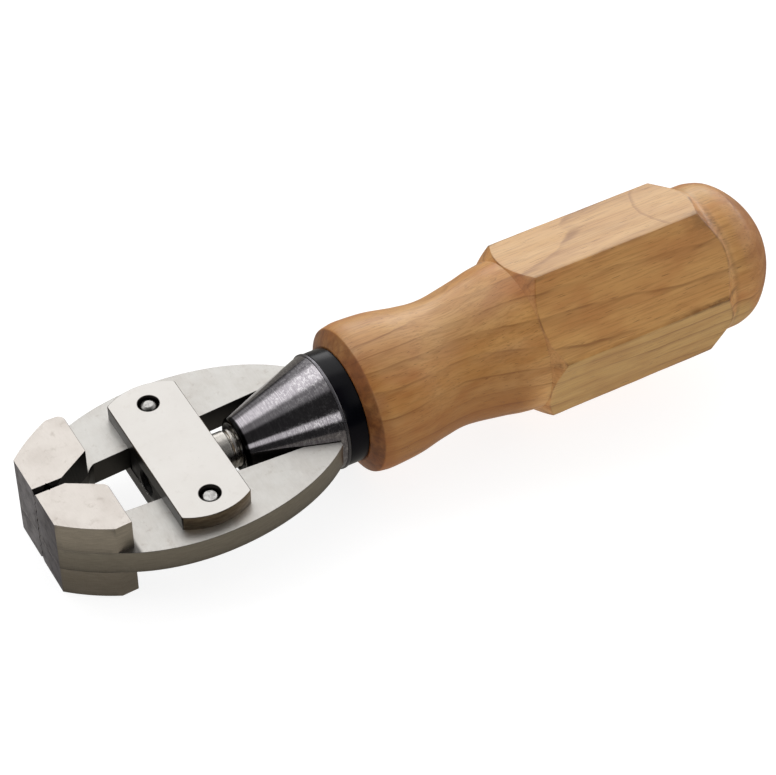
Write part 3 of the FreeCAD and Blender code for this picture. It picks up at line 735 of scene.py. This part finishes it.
def handle_outline():
    """Outer (x, radius) line of the handle, from the collar's recess to the dome's tip."""
    full = HEX_CORNER + 0.3
    face = straight_run((WOOD_FRONT, 12.25), (WOOD_EDGE, 15.15), 0.3)
    rim = curve_through([(WOOD_EDGE, 15.15), (WOOD_EDGE + 0.25, 15.3), (68.8, 15.52), (71.0, 15.7),
                         (77.0, 15.3), (83.0, 14.2), (89.0, 13.6), (97.0, 14.7),
                         (101.5, 15.6), (105.3, 16.1)], 0.5)
    shoulder = straight_run((105.3, 16.1), (HEX_FULL_FROM, full), 0.15)
    flats = straight_run((HEX_FULL_FROM, full), (HEX_FULL_TO, full), 0.75)
    rear = curve_through([(HEX_FULL_TO, full), (147.5, 17.8), (148.7, 16.8), (149.9, 16.2),
                          (151.2, 16.0), (154.0, 15.85), (156.9, 14.85), (159.7, 12.5),
                          (162.1, 9.5), (164.1, 5.4), (WOOD_REAR, 0.9)], 0.2)
    return face + rim[:-1] + shoulder + flats + rear


def handle_bore():
    """Inner (x, radius) line of the handle, from the dome's tip back to the recess."""
    drill = 6.2
    drill_end = WOOD_FRONT + 45
    insert = 8.0
    insert_end = FERRULE_REAR + 17
    neck = FERRULE_NECK_RADIUS + 0.02
    return [
        (drill_end + 3, 0.4), (drill_end, drill), (insert_end, drill), (insert_end, insert),
        (FERRULE_REAR, insert), (FERRULE_REAR, neck), (WOOD_FRONT, neck), (WOOD_FRONT, 12.05),
    ]


def hex_radius(angle):
    """Distance from the axis to the hexagon at an angle from +Z towards +Y, edges worn round."""
    off_flat = (angle - HEX_TILT + math.pi / 6) % (math.pi / 3) - math.pi / 6
    return smooth_min(HEX_APOTHEM / math.cos(off_flat), HEX_CORNER - 0.1, 0.25)


def worn_radius(x, turned, hexagon, angle):
    """Smaller of the turned and the planed radius, softened and slightly uneven by hand."""
    radius = smooth_min(turned, hexagon, 0.12)
    place = Vector(axis_point(x, radius, angle))
    uneven = noise.noise(place * 0.09) * 0.08 + noise.noise(place * 0.35) * 0.03 - 0.02
    away_from_ends = min(1, max(0, (x - WOOD_FRONT) / 3), (WOOD_REAR - x) / 3)
    return radius + uneven * away_from_ends


def crease_share(x, turned, hexagon):
    """1 on the hexagon's corners and where its flats run out, 0 elsewhere."""
    meeting = max(0, 1 - abs(turned - hexagon) / 0.25) if HEX_FROM < x < HEX_TO else 0
    corner = max(0, (hexagon - HEX_CORNER + 0.35) / 0.5) if turned > hexagon else 0
    return min(1, max(meeting, corner))


def handle_faces(outer, inner):
    """Faces of the skin's and the bore's rings, the ring that joins them and both closed ends."""
    segments = HANDLE_SEGMENTS
    bore = outer * segments
    last = (outer + inner - 1) * segments
    faces = grid_faces(outer, segments, False)
    faces += [tuple(i + bore for i in face) for face in grid_faces(inner, segments, False)]
    faces += [(last + k, last + (k + 1) % segments, (k + 1) % segments, k) for k in range(segments)]
    faces.append(tuple(range(bore - segments, bore)))
    faces.append(tuple(range(bore, bore + segments)))
    return faces


def wooden_handle():
    """Turned and planed handle with softened edges and slight hand-finished unevenness."""
    outline = handle_outline()
    bore = handle_bore()
    angles = [2 * math.pi * k / HANDLE_SEGMENTS + HEX_TILT for k in range(HANDLE_SEGMENTS)]
    hexagon = [hex_radius(angle) for angle in angles]
    points = []
    crease = []
    for x, turned in outline:
        for angle, planed in zip(angles, hexagon):
            points.append(axis_point(x, worn_radius(x, turned, planed, angle), angle))
            crease.append(crease_share(x, turned, planed))
    for x, radius in bore:
        points += [axis_point(x, radius, angle) for angle in angles]
    faces = handle_faces(len(outline), len(bore))
    piece = new_mesh_piece("turned_handle", points, faces, handle_wood("handle_wood"), 30)
    layer = piece.data.attributes.new("crease", "FLOAT", "POINT")
    layer.data.foreach_set("value", crease + [0.0] * (len(points) - len(crease)))
    return stand_for(piece, "handle", "handle_wood", "wooden_handle")


# ---- screw, cone and collar -------------------------------------------------------------
def thread_radius(x, share):
    """Radius of the helical thread at x and a share of a turn; the groove deepens at its start."""
    run_in = min(1, (x - THREAD_START) / THREAD_PITCH)
    phase = (x / THREAD_PITCH - share) % 1
    valley = 1 - abs(2 * phase - 1)
    valley = min(1, max(0, (valley - 0.5) / 0.42))
    return SCREW_RADIUS - THREAD_DEPTH * run_in * valley


def threaded_screw():
    """Screw with a spigot, a smooth shank and a real helical thread."""
    segments = 96
    per_turn = 12
    points = []

    def add_ring(x, radius_at):
        for k in range(segments):
            share = k / segments
            points.append(axis_point(x, radius_at(share), 2 * math.pi * share))

    def add_plain_rings(*outline):
        for x, radius in outline:
            add_ring(x, lambda share, radius=radius: radius)

    add_plain_rings(
        (SCREW_FRONT, TIP_RADIUS), (SCREW_FRONT, SPIGOT_RADIUS - 0.5),
        (SCREW_FRONT + 0.5, SPIGOT_RADIUS), (SHANK_START, SPIGOT_RADIUS),
        (SHANK_START, SCREW_RADIUS - 0.15), (SHANK_START + 0.15, SCREW_RADIUS),
        (THREAD_START - 0.3, SCREW_RADIUS),
    )
    length = SCREW_REAR - 0.6 - THREAD_START
    count = round(length / THREAD_PITCH * per_turn)
    for step in range(count + 1):
        x = THREAD_START + length * step / count
        add_ring(x, lambda share, x=x: thread_radius(x, share))
    tapped = 2.0
    tapped_depth = 8
    add_plain_rings(
        (SCREW_REAR, SCREW_RADIUS - THREAD_DEPTH), (SCREW_REAR, tapped),
        (SCREW_REAR - tapped_depth, tapped), (SCREW_REAR - tapped_depth, TIP_RADIUS),
    )
    rings = len(points) // segments
    faces = grid_faces(rings, segments, False)
    faces.append(tuple(range(segments)))
    faces.append(tuple(range((rings - 1) * segments, rings * segments)))
    steel = bright_steel("screw_steel", rgb(176, 172, 166), 0.22, 3.0)
    piece = new_mesh_piece("threaded_screw", points, faces, steel, 40)
    return stand_for(piece, "frame", "screw_steel", "drive_screw")


def spreader_cone():
    """Cone with a chamfered mouth and finely rounded edges."""
    bore = SCREW_RADIUS + 0.06
    mouth = 0.9
    outline = rounded([
        (CONE_FRONT + mouth, bore), (CONE_FRONT, bore + mouth), (CONE_FRONT, CONE_TIP_RADIUS - 0.4),
        (CONE_FRONT + 0.3, CONE_TIP_RADIUS), (CONE_REAR, CONE_REAR_RADIUS),
        (CONE_REAR, SLEEVE_RADIUS), (RING_FRONT, SLEEVE_RADIUS),
        (RING_FRONT, RING_FLOOR_RADIUS), (RING_REAR, RING_FLOOR_RADIUS),
        (RING_REAR, SLEEVE_RADIUS), (SLEEVE_END, SLEEVE_RADIUS), (SLEEVE_END, bore),
    ], 0.12, 3)
    piece = lathe_x("cone_body", outline, turned_gunmetal("cone_steel"), 30)
    return stand_for(piece, "cone", "cone_steel", "spreader_cone")


def thrust_washer():
    """Thin washer between cone and collar."""
    bore = SLEEVE_RADIUS + 0.05
    outline = rounded([
        (CONE_REAR, bore), (CONE_REAR, WASHER_RADIUS), (WASHER_REAR, WASHER_RADIUS),
        (WASHER_REAR, bore),
    ], 0.12, 3)
    steel = bright_steel("washer_steel", rgb(112, 110, 114), 0.22, 5.0)
    piece = lathe_x("bright_washer", outline, steel)
    return stand_for(piece, "cone", "washer_steel", "thrust_washer")


def ferrule():
    """Flanged collar, its outer edges slightly rounded."""
    bore = SLEEVE_RADIUS + 0.06
    outline = rounded([
        (FERRULE_FRONT, bore), (FERRULE_FRONT, FERRULE_RADIUS), (WOOD_FRONT, FERRULE_RADIUS),
        (WOOD_FRONT, FERRULE_NECK_RADIUS), (FERRULE_REAR, FERRULE_NECK_RADIUS),
        (FERRULE_REAR, FERRULE_CAVITY_RADIUS), (FERRULE_STEP, FERRULE_CAVITY_RADIUS),
        (FERRULE_STEP, bore),
    ], 0.25, 4)
    piece = lathe_x("blued_ferrule", outline, blued_collar("blued_steel"))
    return stand_for(piece, "handle", "blued_steel", "ferrule")


# ---- pins and springs -------------------------------------------------------------------
def pivot_pin(side, name, node, crown_radius, sunk):
    """Pin with a flat crown and a rounded slope, its ends sunk so far below the CAD pin's."""
    segments = 64
    top = PIN_CROWN - sunk
    profile = [(TIP_RADIUS, top - 0.02), (crown_radius, top - 0.04)]
    for share, drop in ((0.15, 0.1), (0.45, 0.28), (0.7, 0.52), (0.89, 0.8), (1.0, 1.05)):
        profile.append((crown_radius + (PIN_RADIUS - crown_radius) * share, top - drop))
    profile += [(r, -z) for r, z in reversed(profile)]
    points = []
    for r, z in profile:
        for k in range(segments):
            angle = 2 * math.pi * k / segments
            points.append((
                PIN_CENTRE.x + r * math.cos(angle), side * PIN_CENTRE.y + r * math.sin(angle), z
            ))
    faces = grid_faces(len(profile), segments, False)
    faces.append(tuple(range(segments)))
    faces.append(tuple(range(len(points) - segments, len(points))))
    piece = new_mesh_piece(name, points, faces, domed_steel(name + "_steel", crown_radius), 18)
    return stand_for(piece, "frame", "pin_steel", node)


def return_spring(side, name, node, material):
    """Small coil spring between the block's hole and the arm."""
    low, high = span(node)
    start = low.y if side > 0 else high.y
    end = high.y if side > 0 else low.y
    wire = 0.22
    coil = (high.x - low.x) / 2 - wire
    turns = 5
    around = 16
    tube = 8
    centre_x = (low.x + high.x) / 2
    steps = turns * around
    points = []
    for step in range(steps + 1):
        share = step / steps
        angle = 2 * math.pi * turns * share
        y = start + side * wire + (end - start - 2 * side * wire) * share
        radial = Vector((math.cos(angle), 0, math.sin(angle)))
        middle = Vector((centre_x, y, 0)) + radial * coil
        for k in range(tube):
            turn = 2 * math.pi * k / tube
            lift = Vector((0, wire * math.sin(turn), 0))
            points.append(tuple(middle + radial * wire * math.cos(turn) + lift))
    faces = grid_faces(steps + 1, tube, False)
    faces.append(tuple(range(tube)))
    faces.append(tuple(range(len(points) - tube, len(points))))
    piece = new_mesh_piece(name, points, faces, material, 60)
    return stand_for(piece, "frame", "spring_steel", node)


# ---- CAD nodes kept as they are ---------------------------------------------------------
def dress_node(name, material, bevel_mm=0.0):
    """Give a CAD node its material and, where asked, finely broken edges."""
    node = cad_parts[name]
    node.data.materials.clear()
    node.data.materials.append(material)
    if bevel_mm:
        weld = node.modifiers.new("weld", "WELD")
        weld.merge_threshold = 0.002 * MM
        bevel = node.modifiers.new("edges", "BEVEL")
        bevel.width = bevel_mm * MM
        bevel.segments = 2
        bevel.limit_method = "ANGLE"
        bevel.angle_limit = math.radians(32)
        bevel.harden_normals = True
        bevel.use_clamp_overlap = True


def dress_cad_nodes():
    """Materials and broken edges of the carried-over nodes, and both sides' pins and springs."""
    # per steel: flat tone, the sides' tone that is painted shade, the painted shade inside the
    # throat, and where the painted contact shade behind the jaws starts
    arm = ground_steel(
        "arm_steel", rgb(182, 180, 176), rgb(196, 188, 173), rgb(78, 76, 73), JAW_REAR - 5.0
    )
    jaw = ground_steel(
        "jaw_steel", rgb(190, 184, 178), rgb(214, 204, 188), rgb(34, 32, 31), JAW_REAR - 0.15
    )
    plate = polished_plate("plate_steel")
    black = black_steel("black_steel")
    hidden = bright_steel("hidden_steel", rgb(150, 150, 150), 0.4)
    ring = bright_steel("spring_steel", rgb(130, 130, 132), 0.3)
    for side in ("far", "near"):
        dress_node(side + "_arm", arm, 0.1)
        dress_node(side + "_jaw_upper", jaw, 0.13)
        dress_node(side + "_jaw_lower", jaw, 0.13)
        dress_node(side + "_jaw_dowels", hidden)
    for name in ("top_plate", "bottom_plate"):
        dress_node(name, plate, 0.08)
    dress_node("spacer_block", black, 0.12)
    inner_pieces = (
        "block_dowels", "screw_lock_pin", "stop_washer", "stop_screw", "threaded_insert",
        "insert_keys",
    )
    for name in inner_pieces:
        dress_node(name, hidden)
    dress_node("retaining_ring", ring)
    for side, word, crown_radius, sunk in ((1, "far", 0.9, 0.0), (-1, "near", 1.3, 0.55)):
        pivot_pin(side, word + "_domed_pin", word + "_pivot_pin", crown_radius, sunk)
        return_spring(side, word + "_coil_spring", word + "_spring", ring)


# ---- stage, light and camera ------------------------------------------------------------
def floor():
    """Pale floor, leaning to meet the jaws' front edge and the handle's rim as the tool rests."""
    rim_x = 71.0
    rim_drop = 15.85
    slope = (rim_drop + JAW_BOTTOM) / rim_x
    reach = 2500.0
    corners = []
    for x in (-reach, reach):
        for y in (-reach, reach):
            corners.append(at(x, y, JAW_BOTTOM - slope * x - 0.03))
    mesh = bpy.data.meshes.new("floor")
    mesh.from_pydata(corners, [], [(0, 2, 3, 1)])
    shader = Shader("floor_paper", Roughness=0.9)
    cloud = shader.noise(shader.spot(), 0.01, 3, 0.5)
    shader.set(Base_Color=shader.blend(cloud, rgb(146, 146, 146), rgb(150, 150, 150)))
    shader.set(Specular_IOR_Level=0.1, Emission_Color=(1, 1, 1, 1), Emission_Strength=0.85)
    mesh.materials.append(shader.material)
    piece = bpy.data.objects.new("floor", mesh)
    piece.visible_glossy = False
    bpy.context.scene.collection.objects.link(piece)


def backdrop():
    """Plain pale wall round the floor, seen by the camera alone: it lights nothing."""
    radius = 2400.0
    segments = 96
    points = []
    for z in (-400.0, 3600.0):
        for k in range(segments):
            angle = 2 * math.pi * k / segments
            points.append(at(radius * math.cos(angle), radius * math.sin(angle), z))
    mesh = bpy.data.meshes.new("backdrop")
    mesh.from_pydata(points, [], grid_faces(2, segments, False))
    shader = Shader("backdrop_paper", Roughness=1.0)
    shader.set(Base_Color=(0, 0, 0, 1), Specular_IOR_Level=0.0)
    shader.set(Emission_Color=(1, 1, 1, 1), Emission_Strength=0.97)
    mesh.materials.append(shader.material)
    piece = bpy.data.objects.new("backdrop", mesh)
    for rays in ("diffuse", "glossy", "transmission", "shadow", "volume_scatter"):
        setattr(piece, "visible_" + rays, False)
    bpy.context.scene.collection.objects.link(piece)


def lights():
    """Studio round the tool: a long softbox behind it, side panels and a low front strip."""
    world = bpy.data.worlds.new("studio")
    world.use_nodes = True
    studio = Nodes(world.node_tree)
    x, y, z = studio.split(studio.place.outputs["Generated"])[:]
    tilt = studio.calc("ARCTAN2", y, z)

    def between(low, low_full, high_full, high):
        """1 between two tilts from overhead, in degrees towards the back, easing off outside."""
        low, low_full, high_full, high = map(math.radians, (low, low_full, high_full, high))
        return studio.times(studio.fade(tilt, low, low_full), studio.fade(tilt, high, high_full))

    above = studio.fade(z, -0.02, 0.02)
    core = studio.times(
        between(12, 26, 50, 66), studio.fade(studio.calc("ABSOLUTE", x), 0.85, 0.6),
        studio.fade(x, 0.2, 0.0, 1.08, 1.66),
    )
    wide = studio.times(between(-14, -2, 74, 88), studio.fade(x, -0.3, 0.15, 0.4, 0.55))
    strip = studio.times(between(-72, -65, -56, -50), studio.fade(x, 0.2, 0.0), 1.4)
    right = studio.times(studio.fade(x, 0.45, 0.8), 0.8)
    left = studio.times(studio.fade(x, -0.5, -0.85), 0.35)
    low_back = studio.times(between(54, 70, 84, 90), studio.fade(x, 0.05, 0.3), 2.1)
    fill = studio.times(between(-62, -42, -14, -2), studio.fade(x, 0.15, 0.45), 0.5)
    panels = studio.times(studio.plus(0.05, core, wide, strip, right, left, low_back, fill), above)
    table = studio.times(studio.fade(z, 0.02, -0.02), 0.28)
    background = studio.node("Background", {
        "Color": studio.blend(above, (1.0, 0.95, 0.86, 1), (1, 1, 1, 1)),
        "Strength": studio.plus(panels, table),
    })
    output = studio.tree.nodes.new("ShaderNodeOutputWorld")
    studio.tree.links.new(background, output.inputs["Surface"])
    bpy.context.scene.world = world


def camera():
    """Camera at the photograph's viewing angle: slightly long lens, no roll."""
    azimuth = math.radians(-29.35)
    elevation = math.radians(46.18)
    distance_mm = 535.0
    aim = at(76.2, -0.74, 0)
    back = Vector((
        math.sin(azimuth) * math.cos(elevation),
        -math.cos(azimuth) * math.cos(elevation),
        math.sin(elevation),
    ))
    right = Vector((math.cos(azimuth), math.sin(azimuth), 0))
    up = back.cross(right)
    data = bpy.data.cameras.new("camera")
    data.sensor_width = 36.0
    data.lens = 123.76
    data.clip_start = 0.01
    data.clip_end = 20
    view = bpy.data.objects.new("camera", data)
    place = Matrix.Translation(aim + back * distance_mm * MM)
    view.matrix_world = place @ Matrix((right, up, back)).transposed().to_4x4()
    bpy.context.scene.collection.objects.link(view)
    bpy.context.scene.camera = view


camera()
lights()
floor()
backdrop()
dress_cad_nodes()
wooden_handle()
threaded_screw()
spreader_cone()
thrust_washer()
ferrule()
bpy.context.scene.view_settings.view_transform = "Standard"
